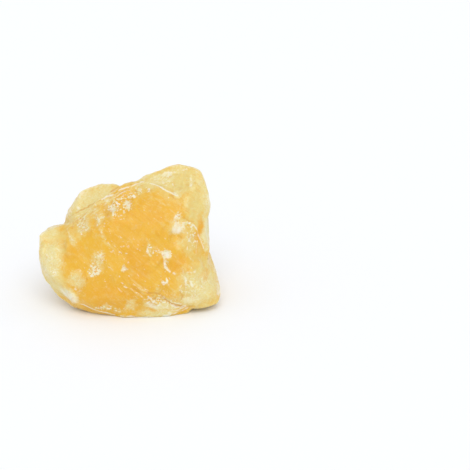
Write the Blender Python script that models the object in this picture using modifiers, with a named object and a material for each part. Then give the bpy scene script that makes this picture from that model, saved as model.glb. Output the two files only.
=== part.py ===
"""A rough chunk of orange calcite, about 50 mm wide, lying on a flat broken face.

Run it with blender --background --python part.py, or from Blender's text editor.
Metres, +Z up. The domed orange face looks towards -Y. The origin is the middle of the
chunk's box, at the height of the surface that it rests on.

The chunk is one stone. Its mass is five angular blocks grown together, each the hull of the
corners where its broken faces meet. Shell-shaped fractures are hollowed out of them. The
surface then gets its swells, its cleavage ledges and the scars of struck flakes.
"""

import math

import bmesh
import bpy
from mathutils import Vector, noise
from mathutils.bvhtree import BVHTree

MM = 0.001

# All sizes below are in millimetres. The corners of the blocks: across, back, up.
BODY = {
    "ridge_left": (-18, -1.5, 22.5),
    "ridge_low": (-9.5, 0.5, 29.3),
    "ridge_middle": (-2, 2.5, 33.5),
    "ridge_high": (4.5, 4, 35),
    "brow_line_left": (6.5, 1.5, 34.2),
    "brow_line_top": (11.2, -1.2, 32.9),
    "brow_line_turn": (14.3, -2.8, 30.9),
    "brow_line_down": (14.8, -4.2, 28.7),
    "brow_line_end": (13.8, -6.7, 26.2),
    "brow_left": (-16.5, -7, 19.5),
    "brow_middle": (-4, -7.5, 26.5),
    "brow_right": (8, -7.5, 26.5),
    "cheek_left": (-16.5, -10.8, 12),
    "cheek_middle": (-2, -12.8, 14),
    "cheek_right": (15, -10.6, 14),
    "chin_left": (-12.5, -12.2, 5.5),
    "chin_middle": (-3, -13.7, 6.5),
    "chin_right": (14.5, -12.4, 7.5),
    "sole_left": (-8, -10.4, 1.6),
    "sole_middle": (0, -12.7, 1.8),
    "sole_right": (9, -12.1, 2.2),
    "toe_left": (-10.5, -7.4, -1.5),
    "toe_middle": (-1, -10.8, -1.5),
    "toe_right": (11.5, -10.6, -1.5),
    "toe_corner": (16.8, -8.6, -0.6),
    "heel_left": (-8.5, 11, -1.5),
    "heel_middle": (3, 15, -1.5),
    "heel_right": (16.5, 10.5, -1.5),
    "back_left": (-13, 14, 13),
    "back_middle": (-1, 20.8, 12),
    "back_right": (14.5, 17.5, 10),
    "nape": (6, 14, 31.3),
}
PEAK = {
    "crest_left": (3, 5, 35),
    "crest_middle": (9.3, 6.5, 37.3),
    "crest_top": (14.2, 7.5, 38.1),
    "crest_right": (19.7, 6, 37.5),
    "brow_end": (12, 0, 31.5),
    "knob_front": (16.5, -2.8, 31.5),
    "knob_side": (22.3, 2, 31.2),
    "knob_hip": (22.8, 1, 27.2),
    "flank_front": (13.5, -8.8, 22.5),
    "flank_high": (18.1, -4.8, 24.3),
    "flank_middle": (19.9, -4.4, 20.8),
    "flank_side": (21.5, -1.5, 19),
    "flank_low": (22, -4.6, 12),
    "flank_root": (16, -10.2, 13),
    "flank_inner": (11, -9.5, 17),
    "back_top": (12.5, 13, 34),
    "back_side": (21, 11, 25.5),
    "back_hump": (16.5, 17, 19),
    "back_low": (17, 12.5, -1.5),
    "back_inner": (6, 12, 8),
}
FOOT = {
    "hip": (21.7, -3, 14),
    "outer_high": (25.2, -2.5, 6.5),
    "outer_low": (25.4, -3.5, 3),
    "corner": (21.5, -8.8, 1.6),
    "corner_side": (24.8, -6.8, 1.6),
    "underside": (17.5, -9, 1.4),
    "toe": (14.5, -11.6, 4.5),
    "bulge": (19, -10.8, 8.5),
    "shin": (16, -10, 15),
    "knee": (19.5, -7.5, 15),
    "back_high": (21.8, 5, 13),
    "back_low": (17.5, 10.5, -1.5),
    "inner": (12, 9, -1.5),
}
EAR = {
    "tip": (-24.9, -3, 21.4),
    "top": (-22.8, 0.5, 21.9),
    "root": (-16, 0, 23.4),
    "brow": (-19, -7.2, 18.8),
    "lobe_high": (-25, -4.5, 17),
    "lobe_middle": (-22.3, -8.6, 13.5),
    "lobe_low": (-24, -5, 10.4),
    "jaw": (-19.8, -6.5, 3.3),
    "jaw_front": (-15, -11.6, 5.5),
    "jaw_low": (-12, -8.6, 0.2),
    "jaw_inner": (-8, -9.9, 2),
    "jaw_back": (-16, -7.2, 1.0),
    "cheek": (-15, -12, 10),
    "back_high": (-19.5, 9.8, 19),
    "back_low": (-16.5, 11, 7),
    "inner": (-10, 4, 2),
}
SHOULDER = {
    "outer_high": (-16.9, 8.5, 25.1),
    "top_left": (-14.8, 10.3, 29.4),
    "top_middle": (-9.5, 11.5, 30.6),
    "top_right": (-5, 11.5, 30.5),
    "inner": (1, 9, 30),
    "outer_low": (-20.6, 9.5, 17),
    "back_left": (-13.5, 17, 18),
    "back_right": (-3, 19, 23),
    "foot_left": (-15.5, 11, 7),
    "foot_right": (0, 15, 5),
    "front": (-15.5, 0.5, 19),
}

# The blocks reach below this height, where the resting face is cut through them.
RESTING_HEIGHT = 0.0
SLAB_SIDE, SLAB_THICKNESS = 200, 50

# Shell-shaped fractures: centre, half-axes, and turns about X, Y and Z in degrees.
FRACTURES = {
    "valley_behind_ridge": ((-11, 4.8, 34.5), (12, 3.2, 7.5), (0, 0, 12)),
    "gap_under_foot": ((19.5, -9, -1.2), (3.2, 5, 2.2), (0, 0, 20)),
    "waist": ((27.1, -1, 21.5), (6, 9, 9), (0, 0, 0)),
    "ear_hollow": ((-26.5, 7, 27), (8, 7, 6), (0, 0, 0)),
    "back_hollow": ((-7, 29, 7), (14, 13.5, 11), (0, 0, 15)),
    "back_corner_hollow": ((24, 25, 20), (12, 13, 14), (0, 0, -35)),
    "behind_crest": ((8, 17, 42), (13, 9, 9.5), (0, 0, -10)),
    "facet_above_brow": ((13.8, -4.4, 46.1), (14, 14, 14), (0, 0, 0)),
    "ledge_at_right": ((9.5, -15.0, 5.6), (8, 3, 1.5), (0, 24, 6)),
    "ledge_at_middle": ((7.5, -15.2, 16.8), (3.6, 3, 1.1), (0, 48, 4)),
    "under_shoulder": ((-22, 15.5, 5), (7, 8, 9), (0, 0, 20)),
}

# Flakes struck off the surface: the place nearest to this point, the radius and the depth.
FLAKE_SCARS = (
    ((-13.2, -3.5, 24.5), 2.6, 0.5),
    ((-4.6, -3, 28.5), 2.4, 0.5),
    ((-0.3, -1.5, 30.8), 2.2, 0.45),
    ((-8, -13, 15), 3.0, 0.5),
    ((-14, -12, 10), 2.8, 0.45),
    ((6, -12, 19), 2.6, 0.4),
    ((10.2, -12, 15.5), 2.0, 0.5),
    ((14, -9, 22.5), 2.8, 0.55),
    ((10, -13.5, 9), 2.2, 0.45),
    ((-20, -8, 20), 3.0, 0.5),
    ((19, -3, 33), 3.2, 0.5),
    ((24, 6, 18), 4.0, 0.7),
    ((-2, 20, 17), 4.5, 0.8),
    ((8, 18, 24), 4.0, 0.7),
    ((12, 17, 7), 3.5, 0.6),
    ((-20, 4, 12), 3.0, 0.5),
    ((-12, 18, 24), 3.0, 0.5),
)
# The rim around a scar: its width against the radius and its height against the depth.
SCAR_RIM_WIDTH, SCAR_RIM_HEIGHT = 0.4, 0.18
# How ragged the edge of a scar is, and the wavelength of that.
SCAR_RAGGED, SCAR_RAGGED_LENGTH = 0.35, 1.9

# The faces of calcite's cleavage rhomb, along which the chunk breaks in steps.
CLEAVAGE_DIRECTIONS = (
    Vector((0.62, -0.55, 0.56)).normalized(),
    Vector((-0.66, -0.45, 0.60)).normalized(),
    Vector((0.05, 0.62, 0.78)).normalized(),
    Vector((0.35, 0.88, -0.32)).normalized(),
)
STEP_HEIGHT = 1.3
STEP_SHARPNESS = 3.0
STEP_DEPTH = 0.8
# The steps show where the surface faces their direction this squarely, as a cosine.
FACING_START, FACING_FULL = 0.72, 0.92
# The steps wander: wavelength and shift.
STEP_WARPS = ((9.0, 2.4), (2.6, 0.5))
# The steps come in patches: the wavelength, the middle level and the contrast.
PATCH_LENGTH, PATCH_LEVEL, PATCH_CONTRAST = 8.0, 0.15, 2.2
PATCH_APART = Vector((0, 0, 31.3))

# Waviness of the broken faces: wavelength, height and the place in the noise.
SWELLS = (
    (9.0, 0.7, Vector((0, 5.1, 2.9))),
    (4.2, 0.36, Vector((13.7, 5.1, 2.9))),
    (2.1, 0.16, Vector((27.4, 5.1, 2.9))),
)

VOXEL = 0.5
ROUNDING_PASSES, ROUNDING_FACTOR = 3, 0.5
TRIANGLE_TARGET = 8600
FRACTURE_SEGMENTS, FRACTURE_RINGS = 32, 20
STONE_COLOUR = (0.86, 0.47, 0.09, 1.0)
STONE_ROUGHNESS = 0.38


def clear_scene():
    """Empties the scene that the script starts in."""
    for old in list(bpy.data.objects):
        bpy.data.objects.remove(old, do_unlink=True)


def collection(name):
    """A new collection in the scene."""
    made = bpy.data.collections.new(name)
    bpy.context.scene.collection.children.link(made)
    return made


def object_from(name, mesh_builder, home):
    """A bmesh written to a new object in a collection."""
    mesh = bpy.data.meshes.new(name)
    mesh_builder.to_mesh(mesh)
    mesh_builder.free()
    made = bpy.data.objects.new(name, mesh)
    home.objects.link(made)
    return made


def block(name, corners, home):
    """One angular block: the hull of its corners."""
    shape = bmesh.new()
    for corner in corners.values():
        shape.verts.new(Vector(corner) * MM)
    hull = bmesh.ops.convex_hull(shape, input=shape.verts)
    loose = [part for part in hull["geom_interior"] if isinstance(part, bmesh.types.BMVert)]
    bmesh.ops.delete(shape, geom=loose, context="VERTS")
    bmesh.ops.recalc_face_normals(shape, faces=shape.faces)
    return object_from(name, shape, home)


def as_helper(helper):
    """Marks an object as a shape that only joins or cuts another."""
    helper.hide_render = True
    helper.display_type = "WIRE"
    return helper


def fracture(name, centre, half_axes, turns, home):
    """The ball-like cutter that leaves one shell-shaped hollow."""
    shape = bmesh.new()
    bmesh.ops.create_uvsphere(
        shape, u_segments=FRACTURE_SEGMENTS, v_segments=FRACTURE_RINGS, radius=1.0
    )
    made = object_from(name, shape, home)
    made.scale = Vector(half_axes) * MM
    made.rotation_euler = [math.radians(turn) for turn in turns]
    made.location = Vector(centre) * MM
    return as_helper(made)


def add_boolean(target, other, operation):
    """Joins another object to the target, or cuts it away."""
    step = target.modifiers.new(other.name, "BOOLEAN")
    step.object = other
    step.operation = operation


def add_even_skin(target, rounding_passes):
    """Gives an object one closed skin of even squares, with its edges rounded."""
    skin = target.modifiers.new("even_skin", "REMESH")
    skin.mode = "VOXEL"
    skin.voxel_size = VOXEL * MM
    rounding = target.modifiers.new("rounding", "SMOOTH")
    rounding.factor = ROUNDING_FACTOR
    rounding.iterations = rounding_passes


def rough_mass(home):
    """The blocks joined, hollowed by the fractures, and rounded as handling rounds a soft stone."""
    mass = block("rough_mass", BODY, home)
    for name, corners in (("peak", PEAK), ("foot", FOOT), ("ear", EAR), ("shoulder", SHOULDER)):
        add_boolean(mass, as_helper(block(name, corners, home)), "UNION")
    for name, (centre, half_axes, turns) in FRACTURES.items():
        add_boolean(mass, fracture(name, centre, half_axes, turns, home), "DIFFERENCE")
    add_even_skin(mass, ROUNDING_PASSES)
    return as_helper(mass)


def clamped(value):
    """A value held between nought and one."""
    return max(0.0, min(1.0, value))


def ledge_shift(point, direction):
    """How far a point moves along a cleavage direction to lie on the nearest step."""
    warp = sum(shift * noise.noise(point / wavelength) for wavelength, shift in STEP_WARPS)
    place = (point.dot(direction) + warp) / STEP_HEIGHT
    below = math.floor(place)
    pulled = clamped(0.5 + STEP_SHARPNESS * (place - below - 0.5))
    return (below + pulled - place) * STEP_HEIGHT * STEP_DEPTH


def weathered(point, normal):
    """Where a point of the smooth surface lies once it has its swells and ledges."""
    moved = point.copy()
    for wavelength, height, place in SWELLS:
        moved += normal * height * noise.noise(point / wavelength + place)
    for index, direction in enumerate(CLEAVAGE_DIRECTIONS):
        facing = (normal.dot(direction) - FACING_START) / (FACING_FULL - FACING_START)
        level = noise.noise(point / PATCH_LENGTH + PATCH_APART * index)
        patch = PATCH_LEVEL + PATCH_CONTRAST * level
        moved += direction * ledge_shift(point, direction) * clamped(facing) * clamped(patch)
    return moved


def scar_depth(reach):
    """The sink of a flake scar, against its depth, at a distance against its radius."""
    if reach < 1.0:
        return reach**4 - 1.0
    if reach < 1.0 + SCAR_RIM_WIDTH:
        return SCAR_RIM_HEIGHT * math.sin(math.pi * (reach - 1.0) / SCAR_RIM_WIDTH)
    return 0.0


def strike_flake(places, tree, target, radius, depth):
    """Sinks one shallow flake scar, with a low rim, into the list of places."""
    centre, normal, _, _ = tree.find_nearest(Vector(target))
    for index, place in enumerate(places):
        ragged = 1.0 + SCAR_RAGGED * noise.noise(place / SCAR_RAGGED_LENGTH)
        reach = (place - centre).length / (radius * ragged)
        places[index] = place + normal * depth * scar_depth(reach)


def evaluated_mesh(source):
    """A plain mesh of an object with its modifiers applied."""
    graph = bpy.context.evaluated_depsgraph_get()
    return bpy.data.meshes.new_from_object(source.evaluated_get(graph), depsgraph=graph)


def surfaced(source, name, home):
    """The rough mass with its swells, ledges and flake scars."""
    mesh = evaluated_mesh(source)
    shape = bmesh.new()
    shape.from_mesh(mesh)
    bmesh.ops.scale(shape, vec=Vector((1, 1, 1)) / MM, verts=shape.verts)
    shape.normal_update()
    places = [weathered(vert.co, vert.normal) for vert in shape.verts]
    tree = BVHTree.FromBMesh(shape)
    for target, radius, depth in FLAKE_SCARS:
        strike_flake(places, tree, target, radius, depth)
    for vert, place in zip(shape.verts, places):
        vert.co = place * MM
    made = object_from(name, shape, home)
    made.data.shade_smooth()
    return made


def ground_cutter(home):
    """A slab whose top is the surface that the chunk rests on."""
    shape = bmesh.new()
    bmesh.ops.create_cube(shape, size=1.0)
    slab = object_from("ground", shape, home)
    slab.scale = Vector((SLAB_SIDE, SLAB_SIDE, SLAB_THICKNESS)) * MM
    slab.location.z = (RESTING_HEIGHT - SLAB_THICKNESS / 2) * MM
    return as_helper(slab)


def thin_out(stone):
    """One clean skin, with crevices closed where their walls meet, and then fewer triangles."""
    add_even_skin(stone, 1)
    count = sum(len(face.vertices) - 2 for face in evaluated_mesh(stone).polygons)
    thinning = stone.modifiers.new("thin_out", "DECIMATE")
    thinning.ratio = min(1.0, TRIANGLE_TARGET / count)


def centre_on_origin(stone):
    """Moves the finished stone so that the middle of its box stands over the origin."""
    corners = [vert.co for vert in evaluated_mesh(stone).vertices]
    for axis in (0, 1):
        low = min(corner[axis] for corner in corners)
        high = max(corner[axis] for corner in corners)
        stone.location[axis] = -(low + high) / 2


def stone_material():
    """The plain look of the stone's solid."""
    made = bpy.data.materials.new("orange_calcite")
    made.use_nodes = True
    shader = made.node_tree.nodes["Principled BSDF"]
    shader.inputs["Base Color"].default_value = STONE_COLOUR
    shader.inputs["Roughness"].default_value = STONE_ROUGHNESS
    shader.inputs["Metallic"].default_value = 0.0
    return made


def main():
    """Builds the chunk."""
    clear_scene()
    stone_home = collection("orange_calcite")
    helpers = collection("cutters_and_blocks")
    mass = rough_mass(helpers)
    stone = surfaced(mass, "calcite_chunk", stone_home)
    thin_out(stone)
    add_boolean(stone, ground_cutter(helpers), "DIFFERENCE")
    centre_on_origin(stone)
    stone.data.materials.append(stone_material())


main()
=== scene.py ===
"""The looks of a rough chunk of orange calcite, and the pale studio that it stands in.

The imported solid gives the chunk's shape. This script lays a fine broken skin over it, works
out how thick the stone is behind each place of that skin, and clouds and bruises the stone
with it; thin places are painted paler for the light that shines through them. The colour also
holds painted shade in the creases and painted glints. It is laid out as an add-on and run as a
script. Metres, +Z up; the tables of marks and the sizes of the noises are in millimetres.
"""

import math
from types import SimpleNamespace

import bmesh
import bpy
import numpy as np
from bpy.props import FloatProperty, FloatVectorProperty, IntProperty, PointerProperty
from bpy.types import Operator, Panel, PropertyGroup
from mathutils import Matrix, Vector, noise
from mathutils.bvhtree import BVHTree
from mathutils.kdtree import KDTree


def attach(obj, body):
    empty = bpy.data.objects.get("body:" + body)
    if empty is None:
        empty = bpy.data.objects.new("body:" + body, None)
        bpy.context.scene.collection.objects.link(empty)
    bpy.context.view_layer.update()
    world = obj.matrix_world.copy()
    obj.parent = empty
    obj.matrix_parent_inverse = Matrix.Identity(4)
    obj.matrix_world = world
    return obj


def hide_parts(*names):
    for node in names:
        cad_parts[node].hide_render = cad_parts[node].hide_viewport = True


bl_info = {
    "name": "Orange calcite chunk",
    "version": (1, 0, 0),
    "blender": (4, 5, 0),
    "location": "3D View > Sidebar > Calcite",
    "description": "Builds a rough chunk of orange calcite and a pale studio around it",
    "category": "Add Mesh",
}

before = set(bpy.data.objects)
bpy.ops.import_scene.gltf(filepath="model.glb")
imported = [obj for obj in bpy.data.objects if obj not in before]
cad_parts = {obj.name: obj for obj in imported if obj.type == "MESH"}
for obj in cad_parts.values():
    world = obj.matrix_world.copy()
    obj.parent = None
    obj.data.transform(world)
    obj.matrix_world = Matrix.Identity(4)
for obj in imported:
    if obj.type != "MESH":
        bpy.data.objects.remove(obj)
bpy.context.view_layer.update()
STONE_NODE = "calcite_chunk"
MM = 0.001

# Milky veils inside the stone: the place, the half sizes across and up, how far the long
# way leans down to the right in degrees, and the strength.
VEILS = {
    "left_lobe": ((-20.9, -11.4, 15.6), (3.0, 4.2), 0, 0.85),
    "left_lobe_low": ((-20.5, -12.0, 9.5), (2.4, 3.2), -25, 0.4),
    "ear_top": ((-22.1, -5.8, 21.5), (3.0, 1.6), -10, 0.6),
    "ear_streak": ((-15.0, -9.9, 20.9), (3.4, 0.8), 57, 0.5),
    "left_low_patch": ((-14.0, -14.3, 11.4), (2.2, 2.6), 0, 0.7),
    "bottom_left_edge": ((-16.6, -12.6, 6.4), (3.4, 2.0), 36, 0.9),
    "oval": ((-12.3, -7.3, 23.9), (2.2, 2.1), 0, 0.6),
    "small_oval": ((-8.2, -7.9, 26.6), (1.4, 1.9), -15, 0.5),
    "back_lobe": ((-10.5, 5.5, 28.0), (6.0, 2.5), -15, 0.6),
    "back_lobe_left": ((-14.6, 4.0, 26.0), (2.4, 3.2), -50, 0.6),
    "ridge_left_band": ((-15.6, 1.5, 23.1), (3.2, 1.1), -30, 0.45),
    "ridge_middle_band": ((-5.6, -2.7, 30.8), (2.5, 0.8), -28, 0.5),
    "small_cloud": ((-6.7, -11.9, 23.2), (1.8, 0.6), 40, 0.4),
    "middle_left": ((-8.3, -13.9, 15.6), (2.4, 3.4), 25, 0.5),
    "bruise_cloud": ((13.6, -10.0, 25.0), (2.3, 3.0), 8, 0.6),
    "flank_cloud": ((15.2, -10.2, 21.6), (2.4, 2.6), 0, 0.4),
    "flank_low": ((16.5, -10.3, 18.9), (1.9, 1.4), 0, 0.2),
    "flank_edge": ((18.0, -8.5, 21.8), (1.2, 3.4), -20, 0.3),
    # Painted light: pale rims along the right outline, where light shines through the thin edge,
    # laid on as veil.
    "right_lit_rim_high": ((21.2, -3.5, 27.9), (0.9, 3.5), 0, 0.7),
    "right_lit_rim_low": ((21.2, -5.9, 21.7), (1.2, 4.4), 0, 1.0),
    "peak_right_lit_rim": ((20.2, -1.1, 33.4), (1.3, 4.0), -12, 0.6),
    "foot_inner": ((15.9, -13.8, 12.0), (2.4, 2.8), 0, 0.55),
    "foot_outer": ((20.2, -12.6, 7.4), (4.4, 4.4), 0, 0.65),
    "foot_low": ((16.7, -14.0, 4.9), (3.4, 1.6), 0, 0.8),
    "low_right_band": ((10.2, -15.1, 3.7), (4.8, 1.3), 4, 0.8),
    "low_right_edge": ((8.0, -14.9, 1.5), (5.5, 1.4), 0, 0.8),
    "low_right_corner": ((5.8, -15.7, 4.2), (1.5, 1.2), 0, 0.6),
    "low_right_area": ((10.7, -15.6, 7.3), (3.8, 1.9), 25, 0.3),
    "bottom_band": ((-5.0, -15.9, 3.1), (5.5, 0.7), 3, 0.4),
    "bottom_patch": ((0.6, -16.1, 4.2), (1.7, 1.9), 0, 0.6),
    "bottom_spot": ((-6.2, -15.9, 3.9), (1.1, 1.3), 0, 0.5),
    "peak_wedge": ((7.4, 0.4, 34.7), (2.7, 1.2), -14, 0.65),
    "peak_wedge_core": ((10.1, 1.3, 35.8), (2.6, 0.7), -15, 0.85),
    "peak_top": ((13.9, 2.1, 36.5), (2.1, 0.9), -10, 0.4),
    "peak_right": ((17.5, -1.3, 34.4), (1.0, 2.2), 0, 0.55),
    "peak_low_left": ((13.4, -4.6, 32.2), (1.1, 1.0), 0, 0.6),
    "peak_low_right": ((15.8, -6.7, 30.6), (1.1, 0.9), 0, 0.45),
    "centre_patch": ((6.1, -13.1, 19.4), (1.1, 1.5), 0, 0.35),
    "centre_patch_high": ((5.3, -13.0, 21.0), (0.7, 1.8), 0, 0.35),
    "wedge_low": ((10.4, -0.2, 34.6), (1.9, 1.1), -10, 0.6),
    # Painted light: a pale rim along the right outline, where light shines through the thin edge.
    "peak_side_lit_rim": ((21.8, -2.1, 29.7), (1.3, 3.4), 0, 0.8),
}

# Frosty bruises, where the skin has been knocked to loose white grains. Columns as above.
BRUISES = {
    "white_bruise_above": ((13.6, -9.1, 27.2), (0.9, 1.7), 10, 0.5),
    "white_bruise_tail": ((16.6, -8.4, 24.9), (2.1, 0.6), 25, 0.6),
    "ridge_bits": ((-3.8, -6.3, 28.9), (1.7, 1.2), -10, 0.75),
    "ridge_bits_right": ((-0.1, -6.3, 29.9), (1.4, 0.7), 10, 0.7),
    "ridge_bits_above": ((0.6, -4.3, 31.3), (1.4, 0.5), -25, 0.6),
    "ridge_bits_band": ((-2.8, -4.6, 30.6), (2.0, 0.6), -20, 0.6),
    "ridge_bits_high": ((2.6, -3.0, 32.9), (1.0, 0.9), -35, 0.7),
    "ridge_bits_end": ((5.5, -3.6, 33.2), (1.2, 0.4), 10, 0.6),
    "ridge_bits_low": ((-1.3, -8.6, 28.8), (0.9, 0.4), 0, 0.5),
    "oval_top": ((-13.0, -5.4, 24.6), (1.7, 0.9), -10, 0.7),
    "oval_grains": ((-12.0, -7.5, 23.4), (1.5, 1.6), 0, 0.4),
    "small_oval_grains": ((-8.2, -7.9, 26.4), (0.9, 1.6), -15, 0.4),
    "low_left_chip": ((-8.9, -14.3, 13.9), (1.7, 1.9), -15, 0.68),
    "low_left_chip_above": ((-7.3, -13.9, 17.3), (1.5, 2.0), 10, 0.42),
    "middle_spot": ((-1.0, -15.5, 14.8), (0.8, 1.1), 0, 0.6),
    "white_chip": ((10.4, -12.9, 18.2), (1.1, 1.2), 0, 0.8),
    "white_chip_tail": ((10.6, -13.5, 15.4), (0.6, 2.0), 12, 0.6),
    "centre_grains": ((6.4, -13.1, 19.2), (1.2, 1.3), 0, 0.42),
    "centre_grains_high": ((5.3, -13.0, 20.9), (0.7, 1.8), 0, 0.42),
    "curl": ((9.8, -15.4, 11.2), (1.0, 0.9), 0, 0.4),
    "low_left_edge": ((-16.4, -12.9, 6.0), (2.8, 1.4), 38, 0.4),
    "low_right_grains": ((9.0, -15.5, 5.2), (4.5, 1.8), 10, 0.4),
    "flank_grains": ((17.6, -9.0, 21.0), (1.6, 3.2), -15, 0.3),
    "foot_grains": ((17.5, -13.8, 8.5), (4.0, 3.4), 0, 0.3),
    "left_lobe_grains": ((-21.0, -11.3, 14.5), (2.2, 3.4), 0, 0.3),
    "bottom_grains": ((-5.0, -15.9, 3.1), (5.0, 0.9), 3, 0.4),
    "centre_grains_low": ((7.8, -13.4, 18.5), (1.2, 0.8), 0, 0.4),
    "wedge_grains": ((10.2, 0.1, 34.9), (1.9, 1.0), -10, 0.35),
}

# Places bruised so hard that they are white all through. Columns as above.
WHITES = {
    "white_bruise": ((13.3, -10.2, 24.6), (1.2, 1.8), 0, 0.6),
    "white_bruise_right": ((14.2, -9.9, 25.0), (1.6, 0.8), 10, 0.35),
    "white_bruise_above": ((13.1, -9.4, 26.8), (0.9, 1.9), 8, 0.3),
    "white_bruise_low": ((14.6, -9.9, 23.9), (1.6, 0.8), 12, 0.3),
    "ridge_bit": ((-4.3, -6.1, 28.6), (0.7, 0.7), 0, 0.65),
    "ridge_bit_right": ((0.0, -6.3, 30.0), (0.8, 0.5), 0, 0.65),
    "low_left_chip": ((-9.1, -14.2, 13.4), (1.0, 0.7), -10, 0.3),
    "low_left_chip_above": ((-7.6, -13.8, 17.0), (0.6, 1.4), 18, 0.2),
    "middle_spot": ((-1.0, -15.5, 14.8), (0.7, 0.8), 0, 0.6),
    "white_chip": ((10.3, -13.0, 18.1), (1.1, 1.0), 0, 0.75),
    "bottom_left": ((-16.2, -13.0, 5.9), (3.1, 1.7), 38, 0.5),
    "low_right": ((6.4, -15.7, 4.2), (1.9, 0.9), 25, 0.5),
    "wedge": ((10.3, 1.5, 36.0), (1.6, 0.5), -14, 0.4),
    "foot_low": ((17.0, -14.0, 5.0), (2.6, 1.2), 0, 0.35),
    "white_chip_tail": ((10.1, -13.6, 15.8), (0.4, 1.4), 8, 0.5),
}

# Clear depths, where the orange is strongest. Columns as above.
DEPTHS = {
    "middle": ((2.3, -15.0, 16.3), (3.2, 7.8), 0, 0.5),
    "flank_pocket": ((13.9, -13.4, 15.2), (2.1, 2.8), 0, 0.6),
    "foot_pocket": ((20.3, -10.9, 10.2), (1.2, 1.6), 0, 0.7),
    "pocket": ((7.4, -14.3, 16.7), (1.8, 1.3), 0, 0.5),
    "chin": ((-4.4, -16.8, 7.0), (9.5, 4.5), 0, 0.5),
    "left_band": ((-14.9, -12.0, 17.6), (3.2, 2.1), 0, 0.4),
    "lobe_band": ((-19.1, -8.4, 19.5), (3.0, 1.0), 10, 0.35),
    "upper_face": ((0.5, -9.5, 27.0), (10.5, 5.5), -8, 0.35),
    "right_strip": ((19.3, -6.8, 22.4), (1.1, 4.4), 6, 0.65),
}

# Broad parts of the stone that are thin, painted pale for the light that shines through them.
# Columns as above.
THIN_LIT_PARTS = {
    "back_lobe": ((-9.5, 8.0, 24.0), (11.5, 9.0), 0, 1.0),
    "ridge_back": ((6.5, 4.0, 34.5), (7.5, 3.0), -16, 0.85),
    "ear": ((-21.5, -6.5, 18.5), (5.5, 4.5), 0, 0.85),
    "left_lobe": ((-21.5, -11.0, 11.0), (5.0, 7.5), -25, 0.8),
    "left_ridge": ((-14.0, -6.0, 22.5), (4.5, 3.5), -30, 0.45),
    "peak": ((14.5, 1.0, 34.6), (8.0, 5.2), 0, 0.8),
    "peak_side": ((18.5, -3.0, 28.5), (3.8, 7.0), 0, 0.8),
    "flank": ((17.4, -9.0, 20.0), (3.4, 7.0), 0, 0.58),
    "foot": ((19.5, -10.5, 8.0), (6.8, 7.8), 0, 0.85),
    "bottom_right": ((10.5, -15.2, 4.4), (6.5, 3.2), 10, 0.5),
    "bottom_left": ((-17.5, -12.5, 6.5), (4.5, 4.0), 30, 0.5),
}

# Where the broken face sparkles with small grains; their glints are painted pale into the colour.
# Columns as above.
SPARKLES = {
    "front": ((-3.0, -15.0, 17.0), (10.0, 9.0), 25, 0.8),
    "above": ((3.0, -9.0, 27.0), (11.0, 6.0), 0, 0.6),
    "ridge": ((-4.0, -5.0, 29.5), (9.0, 3.5), -28, 1.0),
    "low_right": ((9.0, -15.5, 8.0), (8.0, 5.0), 20, 0.9),
    "flank": ((16.0, -9.5, 19.0), (5.0, 8.0), 0, 0.6),
    "peak": ((13.0, -1.0, 34.0), (7.0, 5.0), 0, 0.5),
    "left": ((-16.0, -11.0, 14.0), (8.0, 9.0), 0, 0.5),
}
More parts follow.
